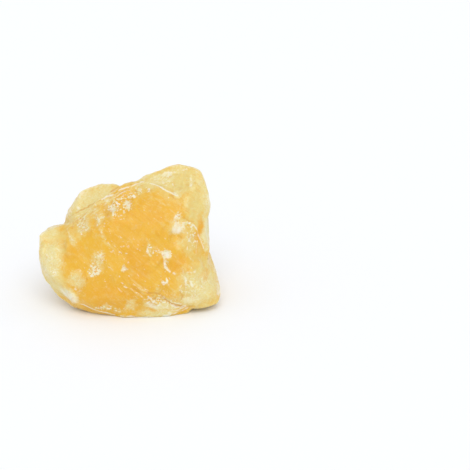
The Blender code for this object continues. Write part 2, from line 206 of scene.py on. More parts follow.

# Pale lines, where the broken edges are worn or scratched, and broad pale rims along the outline,
# painted for the light that shines through the thin edges: half the width, the strength and
# the places that the line runs through.
PALE_LINES = {
    "brow_arris": (0.2, 1.1, (
        (3.6, -0.1, 34.3), (5.8, -1.2, 34.2), (7.7, -2.2, 34.0), (9.3, -3.6, 33.5),
        (11.1, -4.4, 32.8), (13.3, -5.4, 31.9),
    )),
    "brow_arris_low": (0.14, 0.6, (
        (13.3, -5.4, 31.9), (14.2, -7.0, 30.2), (13.9, -8.0, 29.0), (13.4, -8.9, 27.7),
    )),
    "wedge_top": (0.16, 0.7, (
        (3.6, -0.1, 34.3), (6.3, 0.7, 35.1), (8.7, 1.5, 35.9), (10.5, 1.9, 36.2),
    )),
    "wedge_tip": (0.35, 0.7, ((9.2, 1.5, 36.0), (10.7, 1.9, 36.2), (12.1, 2.2, 36.4))),
    "wedge_fan": (0.14, 0.6, ((4.0, -0.3, 34.3), (6.9, 0.2, 34.8), (10.0, 0.5, 35.4))),
    "wedge_fan_low": (0.14, 0.6, ((4.8, -0.6, 34.4), (7.5, -0.5, 34.4), (10.6, -0.4, 34.5))),
    "wedge_fan_edge": (0.16, 0.6, ((10.6, 1.0, 35.5), (11.5, 0.2, 34.7), (12.0, -1.2, 33.9))),
    "wedge_crumb": (0.3, 0.7, ((14.8, 2.3, 36.8), (15.7, 2.4, 37.0))),
    "peak_streak": (0.3, 0.6, ((16.9, 0.1, 35.3), (17.2, -1.1, 34.5), (17.1, -2.7, 33.7))),
    "brow_crumb": (0.35, 0.7, ((12.6, -4.2, 32.5), (13.3, -4.9, 32.1))),
    "bruise_arc": (0.2, 0.8, ((12.5, -9.4, 27.3), (13.6, -8.7, 28.0), (14.6, -8.2, 28.4))),
    "flank_rim": (0.18, 0.85, (
        (14.6, -9.5, 25.9), (16.9, -8.3, 25.2), (18.4, -7.8, 23.4), (19.5, -7.6, 21.0),
        (20.3, -7.7, 17.7), (21.0, -8.1, 13.7), (21.8, -9.1, 10.5),
    )),
    "flank_rim_in": (0.13, 0.6, (
        (14.9, -9.7, 24.7), (16.5, -8.9, 23.8), (17.7, -8.7, 22.3), (18.3, -8.8, 20.0),
    )),
    "flank_streak_a": (0.16, 0.6, ((14.2, -11.7, 20.0), (14.9, -10.2, 21.7), (15.8, -9.4, 23.5))),
    "flank_streak_b": (0.16, 0.6, ((16.0, -11.2, 18.6), (16.7, -9.6, 20.3), (17.1, -9.0, 22.1))),
    "flank_streak_c": (0.14, 0.5, ((17.8, -10.8, 16.1), (18.5, -9.4, 17.9), (18.6, -8.8, 19.4))),
    "ridge_low": (0.15, 0.6, (
        (-17.4, 2.3, 21.5), (-15.6, 1.7, 23.1), (-13.9, 2.3, 24.1), (-11.1, -4.1, 27.3),
    )),
    "ridge_low_in": (0.15, 0.6, (
        (-15.8, -5.6, 23.4), (-13.6, -4.6, 24.8), (-11.3, -5.2, 26.7), (-9.3, -4.9, 27.8),
    )),
    "ridge_middle": (0.24, 1, ((-7.4, -2.7, 30.3), (-6.2, -2.5, 30.9), (-4.6, -2.6, 31.6))),
    "ridge_middle_in": (0.16, 0.8, (
        (-6.7, -3.7, 29.9), (-5.5, -4.0, 30.3), (-4.2, -4.0, 30.9), (-2.4, -3.6, 31.8),
        (0.2, -2.7, 32.9),
    )),
    "ridge_high": (0.22, 1, (
        (-3.1, -2.1, 32.5), (-0.9, -1.9, 33.3), (1.2, -1.2, 33.8), (3.1, -0.3, 34.2),
    )),
    "ridge_spot": (0.3, 0.8, ((-15.3, 3.5, 25.4), (-14.8, 3.4, 25.3))),
    "ear_edge": (0.2, 0.5, ((-23.9, -6.4, 21.2), (-22.6, -4.5, 21.7), (-20.8, -3.9, 22.1))),
    "ear_streak": (0.2, 0.5, (
        (-17.1, -5.7, 22.5), (-16.4, -7.1, 22.1), (-15.9, -8.3, 21.5), (-14.8, -9.9, 21.0),
        (-13.6, -10.9, 20.1),
    )),
    "upper_scratch": (0.21, 0.5, ((-7.1, -11.6, 23.7), (-5.8, -12.5, 22.3))),
    "chip_wing": (0.15, 0.8, ((-8.8, -12.7, 19.7), (-7.8, -13.4, 18.6), (-6.7, -14.0, 17.7))),
    "chip_wing_side": (0.14, 0.7, ((-6.9, -13.5, 19.0), (-6.5, -14.0, 17.7), (-6.8, -14.1, 16.3))),
    "left_fleck": (0.16, 0.95, ((-5.2, -13.7, 19.1), (-4.0, -14.0, 18.4))),
    "left_fleck_below": (0.22, 0.9, ((-4.5, -14.4, 17.5), (-3.7, -14.6, 17.2))),
    "left_fleck_low": (0.15, 0.8, ((-3.5, -15.9, 13.5), (-2.7, -15.9, 14.0))),
    "left_fleck_side": (0.14, 0.6, ((-5.8, -14.6, 15.3), (-4.8, -15.4, 14.5))),
    "middle_fleck": (0.16, 0.8, ((-1.6, -14.2, 18.0), (-1.0, -14.6, 17.2), (-0.6, -14.9, 16.4))),
    "middle_dot": (0.25, 0.8, ((-4.0, -15.6, 14.6), (-3.8, -15.7, 14.4))),
    "low_fleck": (0.16, 0.8, ((-2.7, -16.5, 10.0), (-1.7, -16.7, 9.0))),
    "low_fleck_in": (0.14, 0.6, ((-4.0, -16.2, 10.7), (-3.3, -16.5, 9.8))),
    "chin_fleck": (0.25, 0.4, ((-6.4, -16.8, 7.7), (-6.3, -16.8, 6.4), (-5.9, -16.4, 5.0))),
    "chip_hair": (0.12, 0.8, ((8.0, -12.8, 19.7), (9.2, -13.3, 18.1))),
    "centre_side": (0.18, 0.7, ((4.3, -12.5, 22.9), (5.1, -13.1, 20.4), (6.1, -13.8, 17.5))),
    "centre_top": (0.13, 0.5, (
        (4.8, -12.8, 22.2), (6.6, -12.7, 20.4), (8.0, -13.0, 19.3), (9.2, -13.4, 18.0),
    )),
    "white_chip_rim": (0.16, 0.9, ((9.2, -13.0, 18.6), (9.4, -13.5, 17.7), (10.1, -13.5, 16.9))),
    "white_chip_tail": (0.28, 1, (
        (9.8, -13.6, 16.8), (10.0, -13.5, 15.5), (10.5, -13.8, 14.3), (11.3, -14.3, 13.5),
    )),
    "white_chip_end": (0.3, 0.8, ((12.2, -14.3, 13.1), (12.5, -14.3, 12.7))),
    "curl": (0.2, 1.1, (
        (8.9, -15.3, 11.8), (9.3, -15.5, 10.9), (9.6, -15.4, 10.4), (10.6, -15.3, 11.0),
        (10.4, -15.0, 11.9),
    )),
    "curl_side": (0.12, 0.6, ((10.8, -15.3, 10.6), (11.4, -15.5, 9.7))),
    "low_line_a": (0.12, 0.8, (
        (-0.7, -16.5, 10.4), (1.4, -16.8, 9.2), (3.5, -16.8, 7.4), (6.0, -16.1, 5.1),
    )),
    "low_line_b": (0.12, 0.8, (
        (1.7, -16.7, 10.9), (3.9, -16.7, 9.3), (5.6, -16.6, 8.3), (7.1, -16.0, 6.6),
    )),
    "low_line_c": (0.2, 1, ((5.6, -16.5, 7.1), (6.3, -16.3, 6.1), (6.9, -16.0, 5.3))),
    "low_line_d": (0.24, 1, ((7.2, -15.9, 5.8), (8.0, -15.7, 4.6), (8.9, -15.4, 4.1))),
    "low_line_e": (0.18, 0.9, (
        (10.4, -15.1, 5.1), (12.3, -14.6, 3.5), (14.1, -13.6, 2.6), (15.7, -13.7, 3.4),
    )),
    "low_line_f": (0.14, 0.8, (
        (8.6, -15.6, 6.4), (10.7, -15.3, 5.8), (12.3, -14.9, 4.7), (14.2, -14.1, 3.8),
    )),
    "low_line_g": (0.12, 0.7, ((4.4, -16.6, 9.6), (5.7, -16.5, 8.9), (7.1, -16.4, 8.5))),
    "low_line_h": (0.12, 0.7, ((7.6, -16.2, 9.2), (9.2, -15.5, 8.2), (10.6, -15.6, 7.0))),
    "low_line_i": (0.12, 0.6, ((11.3, -15.5, 8.6), (12.6, -15.6, 7.5), (13.2, -15.1, 5.7))),
    "low_band": (0.3, 0.65, (
        (5.1, -16.2, 5.3), (6.3, -15.5, 3.6), (8.0, -15.2, 2.5), (10.1, -14.7, 1.6),
        (12.5, -13.8, 1.0), (14.4, -13.2, 1.2), (15.8, -13.0, 2.0),
    )),
    "low_band_in": (0.2, 0.7, (
        (9.3, -15.3, 3.6), (11.2, -14.6, 2.3), (13.3, -13.7, 1.8), (15.5, -13.3, 2.7),
    )),
    "foot_side": (0.22, 0.6, (
        (15.3, -13.9, 12.1), (15.4, -14.3, 9.3), (15.7, -14.3, 6.3), (15.3, -13.9, 3.8),
    )),
    "foot_top": (0.19, 0.5, ((14.4, -14.1, 12.9), (16.1, -13.7, 13.3), (18.4, -12.2, 13.1))),
    "foot_rim": (0.2, 0.5, (
        (20.8, -10.4, 11.6), (22.2, -10.2, 8.0), (22.8, -11.1, 4.8), (21.8, -11.8, 2.4),
    )),
    "foot_fleck": (0.25, 0.7, ((16.7, -13.9, 10.3), (17.4, -14.0, 8.9))),
    "low_left_ring": (0.28, 0.3, (
        (-13.3, -14.4, 8.7), (-14.6, -14.4, 8.3), (-15.8, -14.3, 9.0), (-16.1, -14.3, 10.3),
        (-16.2, -14.2, 11.9), (-15.5, -13.9, 13.2), (-14.2, -13.9, 13.8), (-12.8, -14.2, 13.7),
    )),
    "low_left_ring_bright": (0.3, 0.4, (
        (-12.8, -14.2, 13.7), (-12.0, -14.6, 12.8), (-11.8, -14.9, 11.5), (-12.3, -14.7, 9.9),
    )),
    "left_lobe_ring": (0.26, 0.4, (
        (-23.7, -9.5, 16.1), (-23.1, -9.4, 17.4), (-21.9, -8.8, 18.1), (-20.4, -9.3, 18.5),
        (-19.0, -10.0, 18.1), (-18.1, -10.7, 17.2), (-17.7, -11.7, 16.2),
    )),
    "bottom_left": (0.4, 0.7, (
        (-18.6, -12.1, 7.1), (-17.4, -12.3, 5.8), (-15.8, -13.9, 5.4), (-14.5, -14.3, 4.5),
    )),
    "bottom_left_side": (0.6, 0.3, ((-13.2, -14.5, 8.5), (-13.7, -14.8, 6.8), (-14.4, -14.4, 4.8))),
    "bottom_edge": (0.28, 1, (
        (-13.3, -14.2, 3.8), (-10.9, -14.3, 2.8), (-7.5, -14.5, 1.6), (-4.2, -14.5, 0.9),
        (0.2, -15.3, 0.8),
    )),
    "bottom_edge_right": (0.28, 1, (
        (0.2, -15.3, 0.7), (2.9, -14.8, 0.3), (5.7, -14.9, 0.3), (8.4, -14.6, 0.4),
        (11.1, -14.3, 0.7),
    )),
    "foot_edge": (0.2, 0.5, (
        (16.0, -13.1, 2.4), (18.3, -12.7, 1.9), (20.4, -12.3, 1.9), (21.8, -11.8, 3.2),
    )),
    # Painted light: broad pale rims along the outline, where light shines through the thin edges.
    "ear_lit_rim": (1.7, 0.45, (
        (-19.4, -2.4, 22.9), (-21.4, -2.4, 22.3), (-24.7, -4.6, 21.3), (-24.9, -7.0, 17.7),
        (-24.3, -8.3, 14.5), (-22.6, -10.6, 11.5),
    )),
    "lobe_lit_rim": (1.7, 0.58, (
        (-18.6, 5.2, 22.9), (-16.2, 6.0, 26.6), (-12.5, 8.6, 30.2), (-8.3, 8.9, 31.0),
        (-4.0, 8.8, 31.0),
    )),
    "crest_lit_rim": (1.7, 0.62, (
        (0.5, 1.0, 34.7), (6.3, 3.2, 36.3), (12.9, 4.6, 37.9), (16.5, 4.2, 37.8),
        (19.9, 3.0, 36.7),
    )),
    "right_lit_rim": (1.7, 0.45, (
        (21.2, 1.6, 34.5), (22.2, -0.8, 30.7), (22.6, -1.8, 26.9), (22.0, -3.4, 24.0),
    )),
    "low_right_lit_rim": (1.7, 0.45, (
        (22.0, -4.7, 20.1), (22.6, -5.2, 15.9), (24.0, -5.0, 10.6), (24.9, -6.0, 7.1),
        (24.9, -8.4, 4.5),
    )),
}

# Creases between broken faces, sunk into the relief and painted dark as painted shade. Columns as
# above.
SHADED_CREASES = {
    "ridge": (0.14, 0.7, (
        (-17.4, 3.2, 22.5), (-15.6, 2.7, 24.2), (-13.8, 3.2, 25.1), (-12.3, 3.6, 25.5),
        (-10.7, 4.0, 26.3), (-8.6, -3.1, 29.6), (-7.1, -2.7, 30.4), (-5.8, -2.5, 31.1),
    )),
    "ridge_crest": (0.2, 0.8, (
        (-5.9, 5.6, 29.4), (-5.2, 5.8, 29.8), (-3.8, 6.6, 30.3), (0.2, -1.0, 34.0),
    )),
    "ridge_under": (0.14, 0.6, (
        (-8.0, -3.9, 29.2), (-6.3, -4.1, 29.7), (-4.6, -4.4, 30.4), (-2.7, -4.1, 31.4),
    )),
    "ridge_fold": (0.3, 0.5, ((-7.2, -4.5, 29.0), (-6.6, -5.7, 28.0), (-5.7, -8.2, 27.4))),
    "oval_side": (0.18, 0.6, (
        (-15.8, -6.4, 23.0), (-15.6, -4.4, 23.9), (-14.2, -4.1, 24.9), (-12.4, -5.1, 25.4),
    )),
    "low_right_left": (0.19, 0.9, (
        (5.2, -16.6, 8.4), (6.2, -16.5, 8.1), (7.6, -16.2, 7.7), (9.1, -15.7, 7.1),
    )),
    "low_right_right": (0.28, 1, (
        (9.1, -15.7, 6.9), (10.2, -15.3, 5.7), (11.2, -15.0, 4.6), (12.3, -14.7, 3.9),
        (13.4, -14.1, 3.3), (14.6, -13.6, 2.9),
    )),
    "low_right_end": (0.24, 0.7, ((14.2, -15.3, 7.9), (14.7, -14.6, 6.4), (14.3, -14.5, 5.2))),
    "low_right_under": (0.16, 0.7, ((5.8, -16.2, 5.5), (6.9, -15.7, 4.3), (7.8, -15.5, 3.7))),
    "low_right_mid": (0.14, 0.7, (
        (6.5, -16.4, 7.1), (7.8, -15.7, 5.9), (9.4, -15.3, 5.1), (10.7, -15.0, 4.1),
    )),
    "low_right_top": (0.13, 0.6, ((1.5, -16.7, 9.9), (3.3, -16.8, 8.5), (4.9, -16.7, 6.9))),
    "bruise_hook": (0.22, 0.5, ((11.6, -10.8, 23.5), (13.7, -10.2, 23.0), (14.3, -10.4, 21.6))),
    "brow": (0.22, 0.5, ((9.5, -4.6, 32.9), (11.6, -5.3, 32.2), (13.0, -6.3, 31.4))),
    "flank_fold": (0.25, 0.5, ((15.2, -8.7, 27.1), (16.4, -8.3, 25.9), (17.4, -7.9, 25.4))),
    "chip_shadow": (0.14, 0.6, ((10.5, -13.4, 16.9), (10.8, -13.4, 15.4), (11.5, -14.0, 14.2))),
    "ring_shadow": (0.18, 0.4, ((-11.5, -14.4, 13.5), (-11.1, -15.0, 12.0), (-11.6, -15.2, 10.0))),
}

# Where the broken face runs out in fibres. Columns as for the veils.
FIBRES = {
    "low_right": ((7.0, -16.0, 6.8), (8.5, 4.2), 22, 1.0),
    "upper_right": ((8.0, -6.5, 30.0), (5.5, 3.0), 30, 0.6),
    "upper_left": ((-7.0, -11.0, 24.0), (5.0, 3.0), 40, 0.5),
}

# Bands of fibres that run along the ridge. Columns as for the pale lines.
RIDGE_FIBRES = {
    "ridge": (1.3, 1.0, (
        (-16.7, -5.6, 22.9), (-14.9, -4.4, 24.2), (-11.6, -5.0, 26.6), (-9.3, -4.6, 28.0),
        (-7.3, -4.2, 29.3), (-5.8, -3.6, 30.4), (-3.6, -3.0, 31.7), (-0.9, -2.3, 33.1),
        (3.0, -0.7, 34.0),
    )),
    "wedge": (0.9, 0.8, ((3.1, -0.1, 34.3), (7.0, 0.3, 34.8), (11.5, 1.6, 36.0))),
}

# The ways that the fibres run, on the front and along the ridge.
STREAK_WAY = (0.76, -0.14, -0.63)
RIDGE_WAY = (0.85, 0.16, 0.50)

# The planes along which the stone splits, as directions that their fine steps climb.
SPLITS = ((0.52, -0.30, 0.80), (-0.66, -0.45, 0.60), (0.62, -0.55, 0.56))

# How far noise pushes the outlines of marks about, with its wide and its fine waves, and the
# sizes of those waves; all in millimetres.
STILL, WIDELY, NEARBY, SLIGHTLY = (0.0, 0.0), (1.0, 0.4), (0.55, 0.35), (0.5, 0.2)
WIDE_PUSH_SIZE, FINE_PUSH_SIZE = 3.2, 0.9
# Three far-off places of the noise, one for each way that a mark is pushed.
PUSH_SHIFTS = (Vector((0.0, 0.0, 0.0)), Vector((31.4, 2.0, 7.7)), Vector((5.0, 57.1, 19.3)))

# The values that the skin keeps for areas: the table, the pushes and the marks' softness.
AREA_MARKS = {
    "veil": (VEILS, WIDELY, 1.2),
    "bruise": (BRUISES, NEARBY, 0.9),
    "white": (WHITES, NEARBY, 0.9),
    "clear": (DEPTHS, WIDELY, 1.4),
    "pale": (THIN_LIT_PARTS, WIDELY, 1.6),
    "sparkle": (SPARKLES, STILL, 1.2),
    "fibre": (FIBRES, WIDELY, 1.2),
}
# The values that it keeps for lines: the table and the pushes.
LINE_MARKS = {
    "line": (PALE_LINES, SLIGHTLY),
    "crease": (SHADED_CREASES, SLIGHTLY),
    "ridge_fibre": (RIDGE_FIBRES, STILL),
}
# Clouds for the sides that the tables don't reach: the strength, the place in the noise and
# the level that it has to rise above. Their size is in millimetres.
HIDDEN_MARKS = {"veil": (0.55, (0, 0, 7), 0.05), "bruise": (0.7, (9, 3, 0), 0.3)}
HIDDEN_CLOUD_SIZE = 5.0
# How far a mark reaches into the stone beyond its larger half size, and what is added to the
# half width of a line; in millimetres.
MARK_DEPTH, LINE_BLUR = 2.5, 0.05

# The fan of looks that measures the stone's depth, from just under its skin. Each ring has its
# lean from straight inwards, in radians, and its number of looks.
LOOK_START = 0.05 * MM
LOOK_RINGS = ((0.0, 1), (0.6, 6), (1.05, 6))
# A place takes its depth from this many corners of the solid, the nearest counting most.
NEAR_CORNERS, CORNER_BLUR = 4, 0.1 * MM
# Passes that smooth the depth, and the stone that the arrises are measured from.
DEPTH_PASSES, EDGE_PASSES = 12, 24
# Corners of the solid's triangles that are this close are one.
MERGE_DISTANCE = 0.001 * MM

# The inputs that size the relief, and the settings that feed them.
RELIEF_SIZES = {
    f"{of} {size}": f"{of}_{size}".lower()
    for of, size in (
        ("Ripple", "Height"), ("Step", "Height"), ("Pit", "Depth"), ("Grain", "Height"),
        ("Chip", "Height"), ("Crease", "Depth"),
    )
}
# The relief rises from nothing to its full height between these heights above the ground; the
# cells that may hold a pit are this wide; one step of the seed moves the pattern this far. All
# in millimetres.
GROUND_EASE, PIT_CELL, SEED_STRIDE = (0.1, 1.2), 1.9, 17.0
# The height of the roughness that is too fine for the skin's squares.
BUMP_HEIGHT = 0.1 * MM

# What is the same all over the stone.
SHADER_CONSTANTS = {
    "IOR": 1.49,
    "Specular IOR Level": 0.4,
    "Sheen Weight": 0.22,
    "Sheen Roughness": 0.35,
    "Sheen Tint": (1.0, 1.0, 0.88, 1.0),
    "Subsurface Weight": 0.72,
    "Subsurface Radius": (1.0, 0.85, 0.7),
}

# The floor lies this far below the stone's flat face, so that the two don't flicker.
FLOOR_GAP = 0.01 * MM
# The width of the camera's picture behind its lens, in millimetres.
SENSOR_WIDTH = 36.0


def length(name, description, default, low=0.0):
    """A setting that is a length."""
    return FloatProperty(
        name=name, description=description, default=default, min=low, unit="LENGTH"
    )


def brightness(name, description, default):
    """A setting that is the strength of a light."""
    return FloatProperty(name=name, description=description, default=default, min=0.0)


def angle(name, description, degrees):
    """A setting that is an angle."""
    return FloatProperty(
        name=name, description=description, default=math.radians(degrees), unit="ROTATION"
    )


def tint(name, description, default):
    """A setting that is a colour."""
    return FloatVectorProperty(
        name=name, description=description, default=default, subtype="COLOR", min=0.0, max=1.0
    )


class CalciteStoneSettings(PropertyGroup):
    """The sizes of the stone's skin and relief."""

    skin_grain: length(
        "Skin Grain", "Size of the squares of the stone's skin", 0.285 * MM, 0.2 * MM
    )
    rounding: IntProperty(
        name="Rounding", description="Passes that soften the solid's facets", default=3, min=0
    )
    ripple_height: length("Ripple Height", "Height of the broken faces' waves", 0.17 * MM)
    step_height: length("Step Height", "Height of the fine cleavage steps", 0.2 * MM)
    pit_depth: length("Pit Depth", "Depth of the small pits", 0.1 * MM)
    grain_height: length("Grain Height", "Height of the finest roughness", 0.05 * MM)
    chip_height: length("Chip Height", "Height of the grains in a bruise", 0.26 * MM)
    crease_depth: length("Crease Depth", "Depth of the creases", 0.22 * MM)
    seed: IntProperty(name="Seed", description="Choice of the relief's pattern", default=3)


class CalciteColourSettings(PropertyGroup):
    """The colours of the stone."""

    amber: tint("Amber", "Colour of thick stone", (0.785, 0.462, 0.033))
    deep: tint("Deep Orange", "Colour of the clearest depths", (0.775, 0.405, 0.024))
    # Thin stone's colour is painted light: paler for the light that shines through it.
    thin: tint("Thin Edge", "Colour of thin stone", (0.755, 0.61, 0.22))
    milky: tint("Milky Veil", "Colour of the veils", (0.79, 0.70, 0.35))
    frost: tint("Frost", "Colour of bruised grains", (0.87, 0.84, 0.735))
    # The crease colour is painted shade in the creases; it also darkens fibres along the ridge and
    # grains in the bruises.
    crease: tint("Crease", "Colour of the creases", (0.70, 0.375, 0.06))
    glow_depth: length("Glow Depth", "How far light travels inside the stone", 1.7 * MM)


class CalciteStageSettings(PropertyGroup):
    """The studio: floor, light and camera."""

    floor_size: length("Floor Size", "Side of the floor", 6.0)
    floor_colour: tint("Floor Colour", "Colour of the floor", (0.925, 0.945, 0.98))
    tent_light: brightness("Tent Light", "Brightness of the white all round", 0.785)
    key_light: brightness("Key Light", "Strength of the broad light", 1.15)
    key_elevation: angle("Key Elevation", "How high the broad light stands", 50)
    key_side: angle("Key Side", "How far left of the camera the broad light stands", -9)
    key_breadth: angle("Key Breadth", "How wide the broad light looks from the stone", 45)
    camera_distance: length("Camera Distance", "Camera to the point it looks at", 326 * MM)
    camera_elevation: angle("Camera Elevation", "How steeply the camera looks down", 22)
    camera_target: FloatVectorProperty(
        name="Camera Target", description="The point the camera looks at",
        default=(28.99 * MM, -3.30 * MM, 19.8 * MM), subtype="XYZ", unit="LENGTH",
    )
    camera_lens: FloatProperty(
        name="Lens", description="Focal length", default=90.0, min=1.0, unit="CAMERA"
    )


class Value:
    """A number that a node gives. Sums and products of such numbers add Math nodes."""

    def __init__(self, socket):
        self.socket = socket

    def joined(self, operation, first, second):
        """The result of a Math node."""
        inputs = {0: first, 1: second}
        made = add_node(self.socket.id_data, "ShaderNodeMath", inputs, operation=operation)
        return Value(made.outputs[0])

    def __add__(self, other):
        return self.joined("ADD", self, other)

    def __radd__(self, other):
        return self.joined("ADD", other, self)

    def __sub__(self, other):
        return self.joined("SUBTRACT", self, other)

    def __mul__(self, other):
        return self.joined("MULTIPLY", self, other)

    def larger(self, other):
        """The larger of two numbers."""
        return self.joined("MAXIMUM", self, other)

    def eased(self, low, high, to_low=0.0, to_high=1.0):
        """The number eased from one range to another."""
        made = add_node(
            self.socket.id_data, "ShaderNodeMapRange",
            {"Value": self, "From Min": low, "From Max": high, "To Min": to_low, "To Max": to_high},
            interpolation_type="SMOOTHSTEP",
        )
        return Value(made.outputs["Result"])


def add_node(tree, kind, inputs=None, **settings):
    """Adds a node; its inputs are constants, or the values or sockets that feed them."""
    made = tree.nodes.new(kind)
    for name, given in settings.items():
        setattr(made, name, given)
    for name, given in (inputs or {}).items():
        if isinstance(given, Value):
            given = given.socket
        if isinstance(given, bpy.types.NodeSocket):
            tree.links.new(given, made.inputs[name])
        else:
            made.inputs[name].default_value = given
    return made


def vector_node(tree, operation, inputs, output=0):
    """The vector that a Vector Math node gives, or with output 1 its number."""
    return add_node(tree, "ShaderNodeVectorMath", inputs, operation=operation).outputs[output]


def scaled(tree, vector, factor):
    """A vector made longer by a factor."""
    return vector_node(tree, "SCALE", {0: vector, "Scale": factor})


def distance_along(tree, place, way):
    """How far a place lies along a way."""
    inputs = {0: place, 1: Vector(way).normalized()}
    return Value(vector_node(tree, "DOT_PRODUCT", inputs, 1))


def part(tree, vector, index):
    """One of the three numbers of a vector or colour."""
    return Value(add_node(tree, "ShaderNodeSeparateXYZ", {0: vector}).outputs[index])


def squeezed(tree, place, way, share):
    """Places drawn together along a way, so that noise on them runs out into streaks."""
    pull = scaled(tree, Vector(way).normalized(), distance_along(tree, place, way) * share)
    return vector_node(tree, "SUBTRACT", {0: place, 1: pull})


def cloud(tree, place, size, detail=2.0, offset=(0, 0, 0), roughness=0.5):
    """Noise of a given size in millimetres, about nought."""
    moved = vector_node(tree, "ADD", {0: place, 1: offset})
    made = add_node(
        tree, "ShaderNodeTexNoise",
        {"Vector": moved, "Scale": 1.0 / size, "Detail": detail, "Roughness": roughness},
    )
    return Value(made.outputs[0]) - 0.5


def cells(tree, place, size):
    """The node that parts the stone into cells of a given size in millimetres."""
    return add_node(tree, "ShaderNodeTexVoronoi", {"Vector": place, "Scale": 1.0 / size})


def cell_chance(tree, place, size):
    """A number from nought to one for each cell of a given size in millimetres."""
    return part(tree, cells(tree, place, size).outputs["Color"], 0)


def fine_steps(tree, place, direction, index):
    """Uneven parallel cleavage steps in patches, about nought."""
    climb = distance_along(tree, place, direction) + cloud(tree, place, 7.0, 2.0) * 3.2
    made = add_node(
        tree, "ShaderNodeTexNoise",
        {"W": climb, "Scale": 0.75, "Detail": 3.0, "Roughness": 0.62}, noise_dimensions="1D",
    )
    patch = cloud(tree, place, 8.0, 1.0, (0, 41.0 * index, 0)).eased(-0.02, 0.14)
    return (Value(made.outputs[0]) - 0.5) * patch


def pits(tree, place):
    """Small round pits in some of the stone's cells, one at their middles."""
    dent = Value(cells(tree, place, PIT_CELL).outputs["Distance"]).eased(0.30, 0.12)
    return dent * cell_chance(tree, place, PIT_CELL).eased(0.66, 0.70)


def kept_value(tree, name):
    """A value kept on the skin, for Geometry Nodes."""
    inputs = {"Name": name}
    made = add_node(tree, "GeometryNodeInputNamedAttribute", inputs, data_type="FLOAT")
    return Value(made.outputs[0])


def relief_height(tree, place, given):
    """How far the fine relief of a broken stone stands out, in metres."""
    chips = (cell_chance(tree, place, 0.8) - 0.6) * kept_value(tree, "bruise")
    heights = [
        (cloud(tree, place, 2.8, 3.0), "Ripple Height", 2.0),
        *((fine_steps(tree, place, way, index), "Step Height", 2.2)
          for index, way in enumerate(SPLITS)),
        (pits(tree, place), "Pit Depth", -1.0),
        (cloud(tree, place, 0.7, 1.0), "Grain Height", 1.0),
        (chips, "Chip Height", 1.0),
        (kept_value(tree, "crease"), "Crease Depth", -1.0),
        (kept_value(tree, "line"), "Crease Depth", 0.5),
    ]
    return sum(shape * given[size] * factor for shape, size, factor in heights)


def relief_tree():
    """Geometry Nodes that raise the fine relief of a broken stone along its normals."""
    tree = bpy.data.node_groups.new("stone_relief", "GeometryNodeTree")
    sockets = [("Geometry", "Geometry"), *((name, "Float") for name in RELIEF_SIZES)]
    sockets += [("Seed", "Int"), ("Material", "Material")]
    for name, kind in sockets:
        made = tree.interface.new_socket(name, in_out="INPUT", socket_type="NodeSocket" + kind)
        if kind == "Float":
            made.subtype = "DISTANCE"
    tree.interface.new_socket("Geometry", in_out="OUTPUT", socket_type="NodeSocketGeometry")
    given = add_node(tree, "NodeGroupInput").outputs
    in_mm = scaled(tree, add_node(tree, "GeometryNodeInputPosition").outputs[0], 1.0 / MM)
    shift = add_node(tree, "ShaderNodeCombineXYZ", {0: given["Seed"], 1: 0.0, 2: 0.0}).outputs[0]
    place = vector_node(tree, "ADD", {0: in_mm, 1: scaled(tree, shift, SEED_STRIDE)})
    above_ground = part(tree, in_mm, 2).eased(*GROUND_EASE)
    normal = add_node(tree, "GeometryNodeInputNormal").outputs[0]
    offset = scaled(tree, normal, relief_height(tree, place, given) * above_ground)
    moved = add_node(
        tree, "GeometryNodeSetPosition", {"Geometry": given["Geometry"], "Offset": offset}
    )
    real = add_node(tree, "GeometryNodeRealizeInstances", {0: moved.outputs[0]})
    finished = add_node(
        tree, "GeometryNodeSetMaterial", {0: real.outputs[0], "Material": given["Material"]}
    )
    add_node(tree, "NodeGroupOutput", {0: finished.outputs[0]})
    return tree


def set_inputs(modifier, values):
    """Sets a Geometry Nodes modifier's inputs, by their sockets' identifiers."""
    for item in modifier.node_group.interface.items_tree:
        if item.in_out == "INPUT" and item.name in values:
            modifier[item.identifier] = values[item.name]


def evaluated_copy(source):
    """A plain mesh of an object with its modifiers applied."""
    graph = bpy.context.evaluated_depsgraph_get()
    return bpy.data.meshes.new_from_object(source.evaluated_get(graph), depsgraph=graph)


def mesh_from(name, shape):
    """A bmesh written to a new mesh."""
    mesh = bpy.data.meshes.new(name)
    shape.to_mesh(mesh)
    shape.free()
    return mesh


def scene_object(name, data):
    """A new object in the scene."""
    made = bpy.data.objects.new(name, data)
    bpy.context.scene.collection.objects.link(made)
    return made


def merged_solid():
    """The solid's mesh with the corners of its loose triangles joined."""
    shape = bmesh.new()
    shape.from_mesh(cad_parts[STONE_NODE].data)
    bmesh.ops.remove_doubles(shape, verts=shape.verts, dist=MERGE_DISTANCE)
    return mesh_from("merged_solid", shape)


def fine_skin(solid, settings):
    """An object whose mesh follows the solid in small even squares."""
    skin = scene_object("calcite_skin", solid.copy())
    squares = skin.modifiers.new("squares", "REMESH")
    squares.mode = "VOXEL"
    squares.voxel_size = settings.skin_grain
    softening = skin.modifiers.new("softening", "SMOOTH")
    softening.factor = 0.5
    softening.iterations = settings.rounding
    mesh = evaluated_copy(skin)
    skin.modifiers.clear()
    skin.data = mesh
    return skin


def point_rows(mesh, what):
    """The places ("co") or directions ("normal") of a mesh's points, as rows."""
    flat = np.empty(len(mesh.vertices) * 3)
    mesh.vertices.foreach_get(what, flat)
    return flat.reshape(-1, 3)


def spread_to_neighbours(values, mesh, passes):
    """Values per point, each pass drawn halfway to the mean of its neighbours."""
    pairs = np.empty(len(mesh.edges) * 2, int)
    mesh.edges.foreach_get("vertices", pairs)
    first, second = pairs.reshape(-1, 2).T
    count = len(values)
    around = np.bincount(first, minlength=count) + np.bincount(second, minlength=count)
    columns = np.atleast_2d(values.T)
    for _ in range(passes):
        columns = np.array([
            0.5 * column
            + 0.5 * (
                np.bincount(first, column[second], count)
                + np.bincount(second, column[first], count)
            ) / np.maximum(around, 1)
            for column in columns
        ])
    return columns[0] if values.ndim == 1 else columns.T


